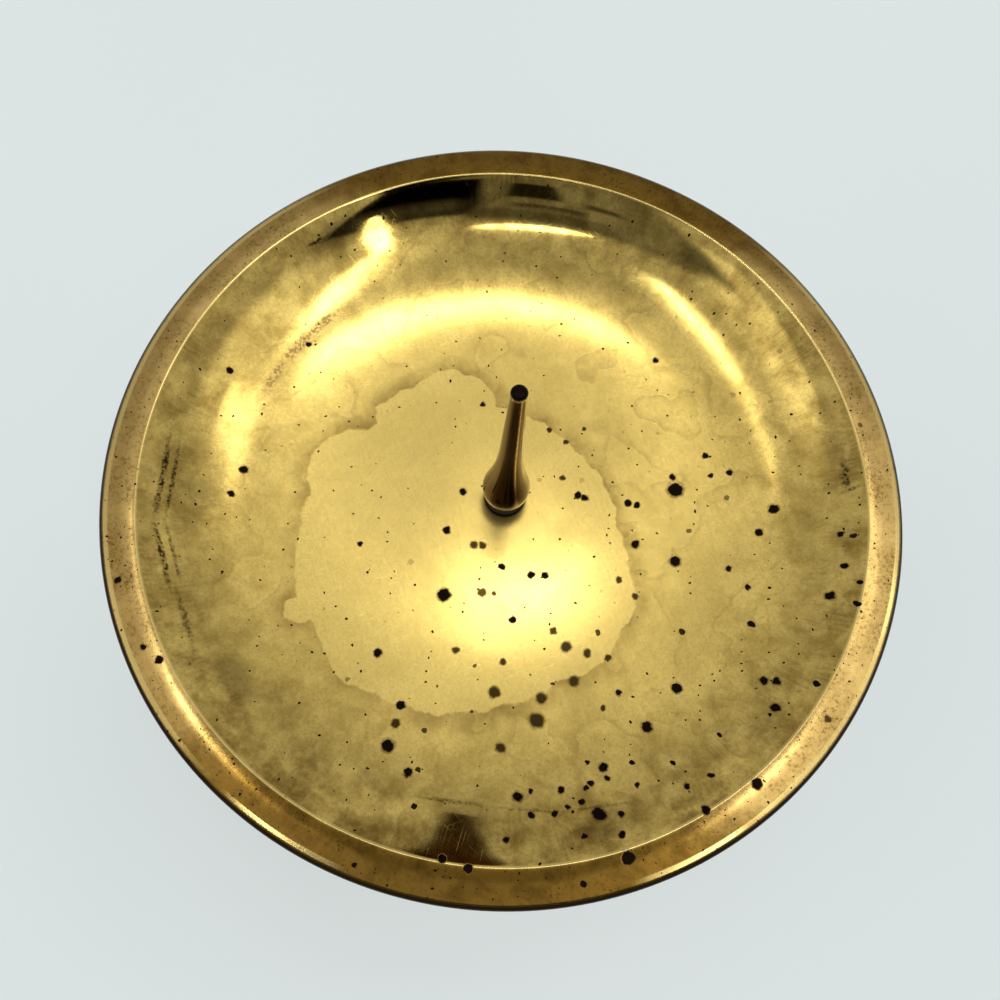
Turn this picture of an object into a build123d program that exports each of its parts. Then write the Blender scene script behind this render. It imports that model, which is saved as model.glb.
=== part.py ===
"""Pricket candle stand: a brass drip dish with a turned pricket, on a stem and foot held by one tie rod.

Millimetres, +Z up. The origin is the centre of the foot's underside, on the table.
"""

import os
from math import cos, radians, sin, tan

from build123d import *

os.makedirs("parts", exist_ok=True)

# Drip dish, spun from sheet: level floor, wall that sweeps up to the rim, rim that falls a little outwards
dish_diameter = 150.0
dish_depth = 12.9
dish_floor_diameter = 40.0
dish_sheet = 2.2
wall_foot_pull = 21.0
wall_rim_pull = 13.0
wall_rim_slope = 48.0
rim_width = 6.75
rim_fall = 0.1
rim_arris = 0.4

# Pricket, turned from bar: foot that tapers in below the belly, concave flank, slim taper, blunt end
pricket_height = 48.3
pricket_seat_diameter = 7.4
pricket_belly_diameter = 9.2
pricket_belly_height = 5.6
pricket_waist_diameter = 4.1
pricket_waist_height = 26.5
pricket_flank_pull = 3.6
pricket_flank_turn_height = 13.5
pricket_tip_diameter = 2.8
pricket_dome_height = 0.7

# Dish seat, the flange under the dish
seat_diameter = 46.0
seat_height = 18.0
seat_edge = 2.0

# Stem tubes and the knop that joins them
tube_diameter = 15.0
tube_wall = 2.0
upper_tube_length = 41.0
lower_tube_length = 51.0
knop_diameter = 30.0
knop_height = 24.0
knop_bead_diameter = 19.0
knop_bead_height = 2.6
spigot_length = 8.0
spigot_lead = 0.8

# Collar between the lower tube and the foot
collar_diameter = 24.0
collar_height = 7.0

# Trumpet foot, cast hollow, standing on a flat ring
foot_diameter = 120.0
foot_height = 24.0
foot_rim_width = 7.0
foot_wall = 2.5
foot_crown_diameter = 25.0

# Tie rod and its fasteners
rod_diameter = 5.0
rod_engagement = 8.0
rod_tail = 1.5
rod_end_chamfer = 0.5
washer_diameter = 15.0
washer_thickness = 1.2
spring_washer_diameter = 9.2
spring_washer_thickness = 1.2
spring_washer_gap = 0.8
nut_across_flats = 8.0
nut_height = 4.0

# Clearances, on the radius except for the spare depth of the tapped hole
thread_clearance = 0.05
spigot_clearance = 0.1
washer_clearance = 0.15
rod_clearance = 0.3
tapped_spare_depth = 1.0

# Heights of the stack, from the table up
lower_tube_z = foot_height + collar_height
knop_z = lower_tube_z + lower_tube_length
upper_tube_z = knop_z + knop_height
seat_z = upper_tube_z + upper_tube_length
dish_z = seat_z + seat_height
floor_z = dish_z + dish_sheet
rim_z = floor_z + dish_depth

# Heights of the fasteners under the foot's crown, from the crown down
crown_under_z = foot_height - foot_wall
washer_z = crown_under_z - washer_thickness
spring_washer_z = washer_z - spring_washer_thickness
nut_z = spring_washer_z - nut_height
rod_z = nut_z - rod_tail

# Radii that several pieces share
rod_radius = rod_diameter / 2
rod_hole_radius = rod_radius + rod_clearance
thread_radius = rod_radius + thread_clearance
washer_hole_radius = rod_radius + washer_clearance
tube_radius = tube_diameter / 2
tube_bore_radius = tube_radius - tube_wall
spigot_radius = tube_bore_radius - spigot_clearance


def spigot_up(z):
    """Outline of a spigot that stands on height z, from its root to the rod hole."""
    Polyline(
        (spigot_radius, z),
        (spigot_radius, z + spigot_length - spigot_lead),
        (spigot_radius - spigot_lead, z + spigot_length),
        (rod_hole_radius, z + spigot_length),
    )


def spigot_down(z):
    """Outline of a spigot that hangs from height z, from its root to the rod hole."""
    Polyline(
        (spigot_radius, z),
        (spigot_radius, z - spigot_length + spigot_lead),
        (spigot_radius - spigot_lead, z - spigot_length),
        (rod_hole_radius, z - spigot_length),
    )


def bead(radius, z, height):
    """Half-round bead whose widest point has the radius, from height z up."""
    root = radius - height / 2
    ThreePointArc((root, z), (radius, z + height / 2), (root, z + height))
    return root


# Drip dish
dish_radius = dish_diameter / 2
floor_radius = dish_floor_diameter / 2
rim_inner_radius = dish_radius - rim_width
rim_edge_height = dish_sheet - rim_fall
rim_edge_radius = dish_radius - rim_edge_height / 2
rim_under_z = rim_z - dish_sheet
# Inside and outside of the wall lie one sheet apart where they meet the rim
wall_slope = radians(wall_rim_slope)
rim_under_radius = rim_inner_radius + dish_sheet * tan(wall_slope / 2)


def dish_wall(foot_z, top_radius, top_z):
    """One face of the wall: level where it leaves the floor, steepest where it meets the rim."""
    Bezier(
        (floor_radius, foot_z),
        (floor_radius + wall_foot_pull, foot_z),
        (top_radius - wall_rim_pull * cos(wall_slope), top_z - wall_rim_pull * sin(wall_slope)),
        (top_radius, top_z),
    )


with BuildPart() as dish:
    with BuildSketch(Plane.XZ):
        with BuildLine():
            Line((rod_hole_radius, floor_z), (floor_radius, floor_z))
            dish_wall(floor_z, rim_inner_radius, rim_z)
            TangentArc((rim_inner_radius, rim_z), (rim_edge_radius, rim_z - rim_fall), tangent=(1, 0))
            bead(dish_radius, rim_under_z, rim_edge_height)
            Line((rim_edge_radius, rim_under_z), (rim_under_radius, rim_under_z))
            dish_wall(dish_z, rim_under_radius, rim_under_z)
            Polyline((floor_radius, dish_z), (rod_hole_radius, dish_z), (rod_hole_radius, floor_z))
        make_face()
    revolve(axis=Axis.Z)
    top_circles = dish.edges().filter_by(GeomType.CIRCLE).group_by(Axis.Z)[-1]
    fillet(top_circles.sort_by(SortBy.RADIUS)[0], radius=rim_arris)
dish.part.label = "dish"
export_step(dish.part, "parts/dish.step")

# Pricket, with a tapped hole for the rod in its foot
seat_ring_radius = pricket_seat_diameter / 2
belly_radius = pricket_belly_diameter / 2
waist_radius = pricket_waist_diameter / 2
tip_radius = pricket_tip_diameter / 2
belly_z = floor_z + pricket_belly_height
waist_z = floor_z + pricket_waist_height
tip_z = floor_z + pricket_height
shoulder_z = tip_z - pricket_dome_height
# The flank's upper pull point lies on the taper's own line, so that flank and taper meet smoothly
taper = (waist_radius - tip_radius) / (shoulder_z - waist_z)
flank_turn_radius = waist_radius + taper * (pricket_waist_height - pricket_flank_turn_height)
with BuildPart() as pricket:
    with BuildSketch(Plane.XZ):
        with BuildLine():
            Line((0, floor_z), (seat_ring_radius, floor_z))
            Line((seat_ring_radius, floor_z), (belly_radius, belly_z))
            Bezier(
                (belly_radius, belly_z),
                (belly_radius, belly_z + pricket_flank_pull),
                (flank_turn_radius, floor_z + pricket_flank_turn_height),
                (waist_radius, waist_z),
            )
            Line((waist_radius, waist_z), (tip_radius, shoulder_z))
            TangentArc((0, tip_z), (tip_radius, shoulder_z), tangent=(1, 0))
            Line((0, tip_z), (0, floor_z))
        make_face()
    revolve(axis=Axis.Z)
    with BuildSketch(Plane.XY.offset(floor_z)):
        Circle(thread_radius)
    extrude(amount=rod_engagement + tapped_spare_depth, mode=Mode.SUBTRACT)
pricket.part.label = "pricket"
export_step(pricket.part, "parts/pricket.step")

# Dish seat: a flare that leaves the tube upright and ends flat under the dish
seat_radius = seat_diameter / 2
seat_edge_z = dish_z - seat_edge
seat_lip_radius = seat_radius - seat_edge / 2
with BuildPart() as dish_seat:
    with BuildSketch(Plane.XZ):
        with BuildLine():
            spigot_down(seat_z)
            Line((spigot_radius, seat_z), (tube_radius, seat_z))
            Bezier((tube_radius, seat_z), (tube_radius, seat_edge_z), (seat_lip_radius, seat_edge_z))
            bead(seat_radius, seat_edge_z, seat_edge)
            Polyline(
                (seat_lip_radius, dish_z),
                (rod_hole_radius, dish_z),
                (rod_hole_radius, seat_z - spigot_length),
            )
        make_face()
    revolve(axis=Axis.Z)
dish_seat.part.label = "dish_seat"
export_step(dish_seat.part, "parts/dish_seat.step")


def stem_tube(z, length):
    """Length of drawn tube that stands on height z."""
    with BuildPart() as tube:
        with BuildSketch(Plane.XY.offset(z)):
            Circle(tube_radius)
            Circle(tube_bore_radius, mode=Mode.SUBTRACT)
        extrude(amount=length)
    return tube


# Stem tubes, cut from the same drawn tube
upper_tube = stem_tube(upper_tube_z, upper_tube_length)
upper_tube.part.label = "upper_tube"
export_step(upper_tube.part, "parts/upper_tube.step")

lower_tube = stem_tube(lower_tube_z, lower_tube_length)
lower_tube.part.label = "lower_tube"
export_step(lower_tube.part, "parts/lower_tube.step")

# Knop: a cushion between two beads, with a spigot for each tube
# A cubic curve with level ends reaches this share of the way out to its pull points
cubic_reach = 0.75
knop_top_z = knop_z + knop_height
cushion_z = knop_z + knop_bead_height
cushion_top_z = knop_top_z - knop_bead_height
with BuildPart() as knop:
    with BuildSketch(Plane.XZ):
        with BuildLine():
            spigot_down(knop_z)
            neck_radius = bead(knop_bead_diameter / 2, knop_z, knop_bead_height)
            pull_radius = neck_radius + (knop_diameter / 2 - neck_radius) / cubic_reach
            Bezier(
                (neck_radius, cushion_z),
                (pull_radius, cushion_z),
                (pull_radius, cushion_top_z),
                (neck_radius, cushion_top_z),
            )
            bead(knop_bead_diameter / 2, cushion_top_z, knop_bead_height)
            spigot_up(knop_top_z)
            for end_z in (knop_z, knop_top_z):
                Line((spigot_radius, end_z), (neck_radius, end_z))
            Line((rod_hole_radius, knop_z - spigot_length), (rod_hole_radius, knop_top_z + spigot_length))
        make_face()
    revolve(axis=Axis.Z)
knop.part.label = "knop"
export_step(knop.part, "parts/knop.step")

# Foot collar: a ring with a rounded edge and one spigot
collar_z = foot_height
with BuildPart() as foot_collar:
    with BuildSketch(Plane.XZ):
        with BuildLine():
            collar_root = bead(collar_diameter / 2, collar_z, collar_height)
            Line((collar_root, lower_tube_z), (spigot_radius, lower_tube_z))
            spigot_up(lower_tube_z)
            Polyline(
                (rod_hole_radius, lower_tube_z + spigot_length),
                (rod_hole_radius, collar_z),
                (collar_root, collar_z),
            )
        make_face()
    revolve(axis=Axis.Z)
foot_collar.part.label = "foot_collar"
export_step(foot_collar.part, "parts/foot_collar.step")

# Foot: a hollow trumpet on a flat ring with a half-round edge
foot_radius = foot_diameter / 2
crown_radius = foot_crown_diameter / 2
crown_under_radius = crown_radius - foot_wall
foot_ring_radius = foot_radius - foot_rim_width
foot_edge_radius = foot_radius - foot_wall / 2
with BuildPart() as foot:
    with BuildSketch(Plane.XZ):
        with BuildLine():
            Line((rod_hole_radius, foot_height), (crown_radius, foot_height))
            Bezier((crown_radius, foot_height), (crown_radius, foot_wall), (foot_ring_radius, foot_wall))
            Line((foot_ring_radius, foot_wall), (foot_edge_radius, foot_wall))
            bead(foot_radius, 0, foot_wall)
            Line((foot_edge_radius, 0), (foot_ring_radius, 0))
            Bezier((foot_ring_radius, 0), (crown_under_radius, 0), (crown_under_radius, crown_under_z))
            Polyline(
                (crown_under_radius, crown_under_z),
                (rod_hole_radius, crown_under_z),
                (rod_hole_radius, foot_height),
            )
        make_face()
    revolve(axis=Axis.Z)
foot.part.label = "foot"
export_step(foot.part, "parts/foot.step")

# Tie rod, from below the nut up into the pricket
rod_top_z = floor_z + rod_engagement
with BuildPart() as tie_rod:
    with BuildSketch(Plane.XY.offset(rod_z)):
        Circle(rod_radius)
    extrude(amount=rod_top_z - rod_z)
    chamfer(tie_rod.edges().filter_by(GeomType.CIRCLE), length=rod_end_chamfer)
tie_rod.part.label = "tie_rod"
export_step(tie_rod.part, "parts/tie_rod.step")

# Flat washer under the crown
with BuildPart() as washer:
    with BuildSketch(Plane.XY.offset(washer_z)):
        Circle(washer_diameter / 2)
        Circle(washer_hole_radius, mode=Mode.SUBTRACT)
    extrude(amount=washer_thickness)
washer.part.label = "washer"
export_step(washer.part, "parts/washer.step")

# Spring washer, split on one side and pressed flat
spring_washer_radius = spring_washer_diameter / 2
with BuildPart() as spring_washer:
    with BuildSketch(Plane.XY.offset(spring_washer_z)):
        Circle(spring_washer_radius)
        Circle(washer_hole_radius, mode=Mode.SUBTRACT)
        Rectangle(
            spring_washer_diameter,
            spring_washer_gap,
            align=(Align.MIN, Align.CENTER),
            mode=Mode.SUBTRACT,
        )
    extrude(amount=spring_washer_thickness)
spring_washer.part.label = "spring_washer"
export_step(spring_washer.part, "parts/spring_washer.step")

# Hexagon nut
with BuildPart() as nut:
    with BuildSketch(Plane.XY.offset(nut_z)):
        RegularPolygon(nut_across_flats / 2, side_count=6, major_radius=False)
        Circle(thread_radius, mode=Mode.SUBTRACT)
    extrude(amount=nut_height)
nut.part.label = "nut"
export_step(nut.part, "parts/nut.step")
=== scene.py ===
"""Looks of the pricket candle stand: spun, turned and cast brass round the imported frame, on a pale table.

Blender works in metres in the CAD's frame. Sizes and places below are in millimetres, angles in degrees.
"""

from functools import partial
from math import atan2, cos, hypot, pi, radians, sin, tan

import bmesh
import bpy
from mathutils import Matrix, Vector


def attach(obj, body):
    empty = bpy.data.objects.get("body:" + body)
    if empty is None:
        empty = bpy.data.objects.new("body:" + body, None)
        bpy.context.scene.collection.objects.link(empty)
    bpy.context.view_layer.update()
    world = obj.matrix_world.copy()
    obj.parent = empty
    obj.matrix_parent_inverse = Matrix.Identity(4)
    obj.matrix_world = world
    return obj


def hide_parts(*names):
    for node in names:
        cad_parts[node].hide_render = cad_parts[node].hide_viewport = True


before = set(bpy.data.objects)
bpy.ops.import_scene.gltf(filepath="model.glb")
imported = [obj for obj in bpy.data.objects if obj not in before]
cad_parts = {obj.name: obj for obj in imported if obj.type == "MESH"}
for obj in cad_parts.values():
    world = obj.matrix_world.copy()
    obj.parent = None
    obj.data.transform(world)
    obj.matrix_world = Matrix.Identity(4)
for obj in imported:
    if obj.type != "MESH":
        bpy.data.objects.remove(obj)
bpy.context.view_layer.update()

MM = 0.001

# Sizes that the pieces share with the CAD
ROD_HOLE_RADIUS = 2.8
TUBE_RADIUS = 7.5
TUBE_BORE_RADIUS = 5.5
FOOT_TOP_Z = 24.0
LOWER_TUBE_Z = 31.0
KNOP_Z = 82.0
UPPER_TUBE_Z = 106.0
SEAT_Z = 147.0
DISH_Z = 165.0
FLOOR_Z = 167.2
RIM_Z = 180.1
TIP_Z = 215.5

# Modelling
RING_TOLERANCE = 0.02
MERGE_DISTANCE = 0.001
ROUNDING_SEGMENTS = 4
SMOOTH_UP_TO = 45
EASED_EDGE = 0.25


def arc(centre, radius, start, end, steps):
    """Points of an arc as (radius, height), from one angle to the other; 0 points outwards and 90 up."""
    turns = [radians(start + (end - start) * step / steps) for step in range(steps + 1)]
    return [(centre[0] + radius * cos(turn), centre[1] + radius * sin(turn)) for turn in turns]


def sweep(steps, *pulls):
    """Points of a smooth curve from the first pull point to the last, drawn towards those between."""
    points = []
    for step in range(steps + 1):
        share = step / steps
        level = [Vector(pull) for pull in pulls]
        while len(level) > 1:
            level = [a.lerp(b, share) for a, b in zip(level, level[1:])]
        points.append(tuple(level[0]))
    return points


def groove(radius, height, width, depth):
    """Rings of a turned line cut into an upright face, going up."""
    return [
        (radius, height - width / 2),
        (radius - depth, height - width / 6),
        (radius - depth, height + width / 6),
        (radius, height + width / 2),
    ]


def select_ring(piece, radius, height):
    """Selects the one ring of edges that has this radius and height, in edit mode."""
    bpy.ops.mesh.select_all(action="DESELECT")
    bpy.ops.mesh.select_mode(type="EDGE")
    shape = bmesh.from_edit_mesh(piece.data)
    near = RING_TOLERANCE * MM
    for edge in shape.edges:
        edge.select_set(
            all(
                abs(hypot(corner.co.x, corner.co.y) - radius * MM) < near
                and abs(corner.co.z - height * MM) < near
                for corner in edge.verts
            )
        )
    bmesh.update_edit_mesh(piece.data)


def smooth(piece):
    """Shades a piece smooth across gentle edges and keeps its flats flat beside small roundings."""
    bpy.ops.object.shade_smooth_by_angle(angle=radians(SMOOTH_UP_TO))
    bpy.ops.object.modifier_add(type="WEIGHTED_NORMAL")
    piece.modifiers[-1].keep_sharp = True
    bpy.ops.object.modifier_apply(modifier=piece.modifiers[-1].name)


def turned(name, outline, sides, rounded=()):
    """A piece turned about the stand's axis, one ring extruded from the last along the outline.

    The outline holds (radius, height) pairs. rounded lists the rings whose corner gets a rounding, each
    by its radius and height, with the size of the rounding.
    """
    bpy.ops.object.select_all(action="DESELECT")
    radius, height = outline[0]
    bpy.ops.mesh.primitive_circle_add(vertices=sides, radius=radius * MM, location=(0, 0, height * MM))
    piece = bpy.context.object
    piece.name = piece.data.name = name
    bpy.ops.object.transform_apply(location=True, rotation=True, scale=True)
    bpy.ops.object.mode_set(mode="EDIT")
    bpy.ops.mesh.select_all(action="SELECT")
    for next_radius, next_height in outline[1:]:
        rise = (0, 0, (next_height - height) * MM)
        bpy.ops.mesh.extrude_edges_move(TRANSFORM_OT_translate={"value": rise})
        growth = next_radius / radius
        bpy.ops.transform.resize(value=(growth, growth, 1))
        radius, height = next_radius, next_height
    bpy.ops.mesh.select_all(action="SELECT")
    bpy.ops.mesh.remove_doubles(threshold=MERGE_DISTANCE * MM)
    bpy.ops.mesh.normals_make_consistent(inside=False)
    for ring_radius, ring_height, rounding in rounded:
        select_ring(piece, ring_radius, ring_height)
        bpy.ops.mesh.bevel(offset=rounding * MM, segments=ROUNDING_SEGMENTS, affect="EDGES")
    bpy.ops.object.mode_set(mode="OBJECT")
    smooth(piece)
    return piece


# Drip dish: level floor, wall that sweeps up to the rim, nearly level rim with a crisp inner edge
DISH_SIDES = 320
DISH_RADIUS = 75.0
DISH_SHEET = 2.2
DISH_FLOOR_RADIUS = 20.0
WALL_FOOT_PULL = 21.0
WALL_RIM_PULL = 13.0
WALL_RIM_SLOPE = radians(48)
RIM_INNER_RADIUS = 68.25
RIM_INNER_Z = RIM_Z - 0.09
RIM_UNDER_RADIUS = RIM_INNER_RADIUS + DISH_SHEET * tan(WALL_RIM_SLOPE / 2)
RIM_UNDER_Z = RIM_Z - DISH_SHEET
RIM_EDGE = 0.9
RIM_EDGE_Z = RIM_Z - 0.28
# Crown of the rim: radius, and how far below the highest ring
RIM_CROWN = [(69.3, 0.02), (70.4, 0), (71.6, 0.01), (72.6, 0.03), (73.4, 0.05), (74.1, 0.065)]


def dish_wall(floor_z, rim_radius, rim_z, steps):
    """One face of the wall, from the floor up: level at its foot and steepest at the rim."""
    return sweep(
        steps,
        (DISH_FLOOR_RADIUS, floor_z),
        (DISH_FLOOR_RADIUS + WALL_FOOT_PULL, floor_z),
        (rim_radius - WALL_RIM_PULL * cos(WALL_RIM_SLOPE), rim_z - WALL_RIM_PULL * sin(WALL_RIM_SLOPE)),
        (rim_radius, rim_z),
    )


rim_crown = [(radius, RIM_Z - drop) for radius, drop in RIM_CROWN]
dish_outline = [
    (ROD_HOLE_RADIUS, FLOOR_Z),
    (6, FLOOR_Z),
    (13, FLOOR_Z),
    *dish_wall(FLOOR_Z, RIM_INNER_RADIUS, RIM_INNER_Z, 56),
    *rim_crown,
    *arc((DISH_RADIUS - RIM_EDGE, RIM_EDGE_Z - RIM_EDGE), RIM_EDGE, 62, -90, 12),
    *reversed(dish_wall(DISH_Z, RIM_UNDER_RADIUS, RIM_UNDER_Z, 40)),
    (ROD_HOLE_RADIUS, DISH_Z),
    (ROD_HOLE_RADIUS, FLOOR_Z),
]
dish = turned(
    "spun_dish",
    dish_outline,
    DISH_SIDES,
    rounded=[(RIM_INNER_RADIUS, RIM_INNER_Z, 0.24), (*rim_crown[-1], 0.2)],
)

# Pricket: foot that tapers in below a soft-edged belly, concave flank, slim taper, blunt end a little swollen
PRICKET_SIDES = 96
PRICKET_SEAT_RADIUS = 3.7
BELLY_RADIUS, BELLY_Z = 4.6, FLOOR_Z + 5.6
BELLY_ROUNDING = 0.7
WAIST_RADIUS, WAIST_Z = 2.05, FLOOR_Z + 26.5
TIP_RADIUS, SHOULDER_Z = 1.4, TIP_Z - 0.7
FLANK_PULL = 3.6
FLANK_TURN_Z = FLOOR_Z + 13.5
TAPER = (WAIST_RADIUS - TIP_RADIUS) / (SHOULDER_Z - WAIST_Z)
FLANK_TURN_RADIUS = WAIST_RADIUS + TAPER * (WAIST_Z - FLANK_TURN_Z)
THROAT_RADIUS, THROAT_Z = TIP_RADIUS - 0.06, SHOULDER_Z - 1.0
belly_foot = (BELLY_RADIUS - 0.12, BELLY_Z - BELLY_ROUNDING)
belly_top = (BELLY_RADIUS, BELLY_Z + BELLY_ROUNDING)
waist = (WAIST_RADIUS, WAIST_Z)
throat = (THROAT_RADIUS, THROAT_Z)
shoulder = (TIP_RADIUS, SHOULDER_Z - 0.1)
pricket_outline = [
    (0.5, FLOOR_Z),
    (PRICKET_SEAT_RADIUS, FLOOR_Z),
    *sweep(6, (PRICKET_SEAT_RADIUS, FLOOR_Z), belly_foot)[1:],
    *sweep(8, belly_foot, (BELLY_RADIUS, BELLY_Z), belly_top)[1:],
    *sweep(24, belly_top, (BELLY_RADIUS, BELLY_Z + FLANK_PULL), (FLANK_TURN_RADIUS, FLANK_TURN_Z), waist)[1:],
    *sweep(8, waist, throat)[1:],
    *sweep(5, throat, (THROAT_RADIUS, THROAT_Z + 0.4), shoulder)[1:],
    *sweep(8, shoulder, (TIP_RADIUS, TIP_Z - 0.1), (0.85, TIP_Z), (0.02, TIP_Z))[1:],
    (0, TIP_Z),
]
pricket = turned("turned_pricket", pricket_outline, PRICKET_SIDES)

# Dish seat: flare from the stem to a half-round lip under the dish
STEM_SIDES = 128
SEAT_RADIUS = 23.0
LIP_RADIUS = 1.0
LIP_ROOT = SEAT_RADIUS - LIP_RADIUS
LIP_UNDER_Z = DISH_Z - 2 * LIP_RADIUS
flare = sweep(22, (LIP_ROOT, LIP_UNDER_Z), (TUBE_RADIUS, LIP_UNDER_Z), (TUBE_RADIUS, SEAT_Z))
dish_seat = turned(
    "turned_dish_seat",
    [
        (ROD_HOLE_RADIUS, DISH_Z),
        (LIP_ROOT, DISH_Z),
        *arc((LIP_ROOT, DISH_Z - LIP_RADIUS), LIP_RADIUS, 90, -90, 10)[1:],
        *flare[1:],
        (ROD_HOLE_RADIUS, SEAT_Z),
        (ROD_HOLE_RADIUS, DISH_Z),
    ],
    STEM_SIDES,
    rounded=[(TUBE_RADIUS, SEAT_Z, EASED_EDGE)],
)

# Stem tubes
TUBE_END = 1.0


def stem_tube(name, low, high):
    """Length of drawn tube with its cut ends eased."""
    return turned(
        name,
        [
            (TUBE_RADIUS, low),
            (TUBE_RADIUS, low + TUBE_END),
            (TUBE_RADIUS, (low + high) / 2),
            (TUBE_RADIUS, high - TUBE_END),
            (TUBE_RADIUS, high),
            (TUBE_BORE_RADIUS, high),
            (TUBE_BORE_RADIUS, low),
            (TUBE_RADIUS, low),
        ],
        STEM_SIDES,
        rounded=[(TUBE_RADIUS, low, EASED_EDGE), (TUBE_RADIUS, high, EASED_EDGE)],
    )


upper_tube = stem_tube("drawn_upper_tube", UPPER_TUBE_Z, SEAT_Z)
lower_tube = stem_tube("drawn_lower_tube", LOWER_TUBE_Z, KNOP_Z)

# Knop: a cushion between two beads, with a pair of turned lines round its waist
KNOP_RADIUS = 15.0
BEAD_RADIUS, BEAD_HEIGHT = 9.5, 2.6
NECK_RADIUS = BEAD_RADIUS - BEAD_HEIGHT / 2
# A curve with two pull points at one radius comes three quarters of the way out to them
KNOP_PULL = NECK_RADIUS + (KNOP_RADIUS - NECK_RADIUS) / 0.75
CUSHION_Z = KNOP_Z + BEAD_HEIGHT
CUSHION_TOP_Z = UPPER_TUBE_Z - BEAD_HEIGHT
KNOP_MIDDLE_Z = (CUSHION_Z + CUSHION_TOP_Z) / 2
LINE_OFFSET, LINE_WIDTH, LINE_DEPTH = 0.8, 0.6, 0.25
LINED_RADIUS = KNOP_RADIUS - 0.03
LINED_HALF = 1.3
cushion = sweep(
    40,
    (NECK_RADIUS, CUSHION_Z),
    (KNOP_PULL, CUSHION_Z),
    (KNOP_PULL, CUSHION_TOP_Z),
    (NECK_RADIUS, CUSHION_TOP_Z),
)
knop = turned(
    "turned_knop",
    [
        (ROD_HOLE_RADIUS, KNOP_Z),
        (NECK_RADIUS, KNOP_Z),
        *arc((NECK_RADIUS, KNOP_Z + BEAD_HEIGHT / 2), BEAD_HEIGHT / 2, -90, 90, 12)[1:],
        *[point for point in cushion[1:] if point[1] < KNOP_MIDDLE_Z - LINED_HALF],
        *groove(LINED_RADIUS, KNOP_MIDDLE_Z - LINE_OFFSET, LINE_WIDTH, LINE_DEPTH),
        *groove(LINED_RADIUS, KNOP_MIDDLE_Z + LINE_OFFSET, LINE_WIDTH, LINE_DEPTH),
        *[point for point in cushion if point[1] > KNOP_MIDDLE_Z + LINED_HALF],
        *arc((NECK_RADIUS, UPPER_TUBE_Z - BEAD_HEIGHT / 2), BEAD_HEIGHT / 2, -90, 90, 12)[1:],
        (ROD_HOLE_RADIUS, UPPER_TUBE_Z),
        (ROD_HOLE_RADIUS, KNOP_Z),
    ],
    STEM_SIDES,
)

# Foot collar: a rounded ring
COLLAR_RADIUS = 12.0
COLLAR_HEIGHT = LOWER_TUBE_Z - FOOT_TOP_Z
COLLAR_ROOT = COLLAR_RADIUS - COLLAR_HEIGHT / 2
foot_collar = turned(
    "turned_foot_collar",
    [
        (ROD_HOLE_RADIUS, FOOT_TOP_Z),
        (COLLAR_ROOT, FOOT_TOP_Z),
        *arc((COLLAR_ROOT, FOOT_TOP_Z + COLLAR_HEIGHT / 2), COLLAR_HEIGHT / 2, -90, 90, 20)[1:],
        (ROD_HOLE_RADIUS, LOWER_TUBE_Z),
        (ROD_HOLE_RADIUS, FOOT_TOP_Z),
    ],
    STEM_SIDES,
)

# Foot: a hollow trumpet on a flat ring with a half-round edge
FOOT_SIDES = 256
FOOT_RADIUS = 60.0
FOOT_WALL = 2.5
FOOT_RING_RADIUS = 53.0
CROWN_RADIUS = 12.5
CROWN_ROUNDING = 0.3
CROWN_UNDER_RADIUS = CROWN_RADIUS - FOOT_WALL
CROWN_UNDER_Z = FOOT_TOP_Z - FOOT_WALL
trumpet = sweep(40, (CROWN_RADIUS, FOOT_TOP_Z), (CROWN_RADIUS, FOOT_WALL), (FOOT_RING_RADIUS, FOOT_WALL))
hollow = sweep(32, (FOOT_RING_RADIUS, 0), (CROWN_UNDER_RADIUS, 0), (CROWN_UNDER_RADIUS, CROWN_UNDER_Z))
foot = turned(
    "cast_foot",
    [
        (ROD_HOLE_RADIUS, FOOT_TOP_Z),
        (CROWN_RADIUS, FOOT_TOP_Z),
        *trumpet[1:],
        (FOOT_RADIUS - FOOT_WALL / 2, FOOT_WALL),
        *arc((FOOT_RADIUS - FOOT_WALL / 2, FOOT_WALL / 2), FOOT_WALL / 2, 90, -90, 12)[1:],
        (FOOT_RING_RADIUS, 0),
        *hollow[1:],
        (ROD_HOLE_RADIUS, CROWN_UNDER_Z),
        (ROD_HOLE_RADIUS, FOOT_TOP_Z),
    ],
    FOOT_SIDES,
    rounded=[(CROWN_RADIUS, FOOT_TOP_Z, CROWN_ROUNDING)],
)

# Finishes
SOFT = {"interpolation_type": "SMOOTHSTEP"}


def linear(hex_colour):
    """An sRGB hex colour as linear red, green, blue and alpha."""
    parts = [int(hex_colour[start : start + 2], 16) / 255 for start in (0, 2, 4)]
    return (*[p / 12.92 if p <= 0.04045 else ((p + 0.055) / 1.055) ** 2.4 for p in parts], 1.0)


def node(tree, kind, inputs=(), **settings):
    """Adds a node with its settings.

    inputs gives a socket, by its name or number, a value or the node or socket that links to it.
    """
    made = tree.nodes.new("ShaderNode" + kind)
    for name, value in settings.items():
        setattr(made, name, value)
    for key, value in dict(inputs).items():
        if isinstance(key, int):
            socket = made.inputs[key]
        else:
            socket = next(s for s in made.inputs if s.enabled and s.name == key)
        if isinstance(value, bpy.types.Node):
            value = next(out for out in value.outputs if out.enabled)
        if isinstance(value, bpy.types.NodeSocket):
            tree.links.new(value, socket)
        else:
            socket.default_value = value
    return made


def finish_named(name):
    """An empty material, a function that adds nodes to it, and the place on a piece in millimetres."""
    material = bpy.data.materials.new(name)
    material.use_nodes = True
    material.node_tree.nodes.clear()
    add = partial(node, material.node_tree)
    place = add("VectorMath", {0: add("TexCoord").outputs["Object"], "Scale": 1 / MM}, operation="SCALE")
    return material, add, place


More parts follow.
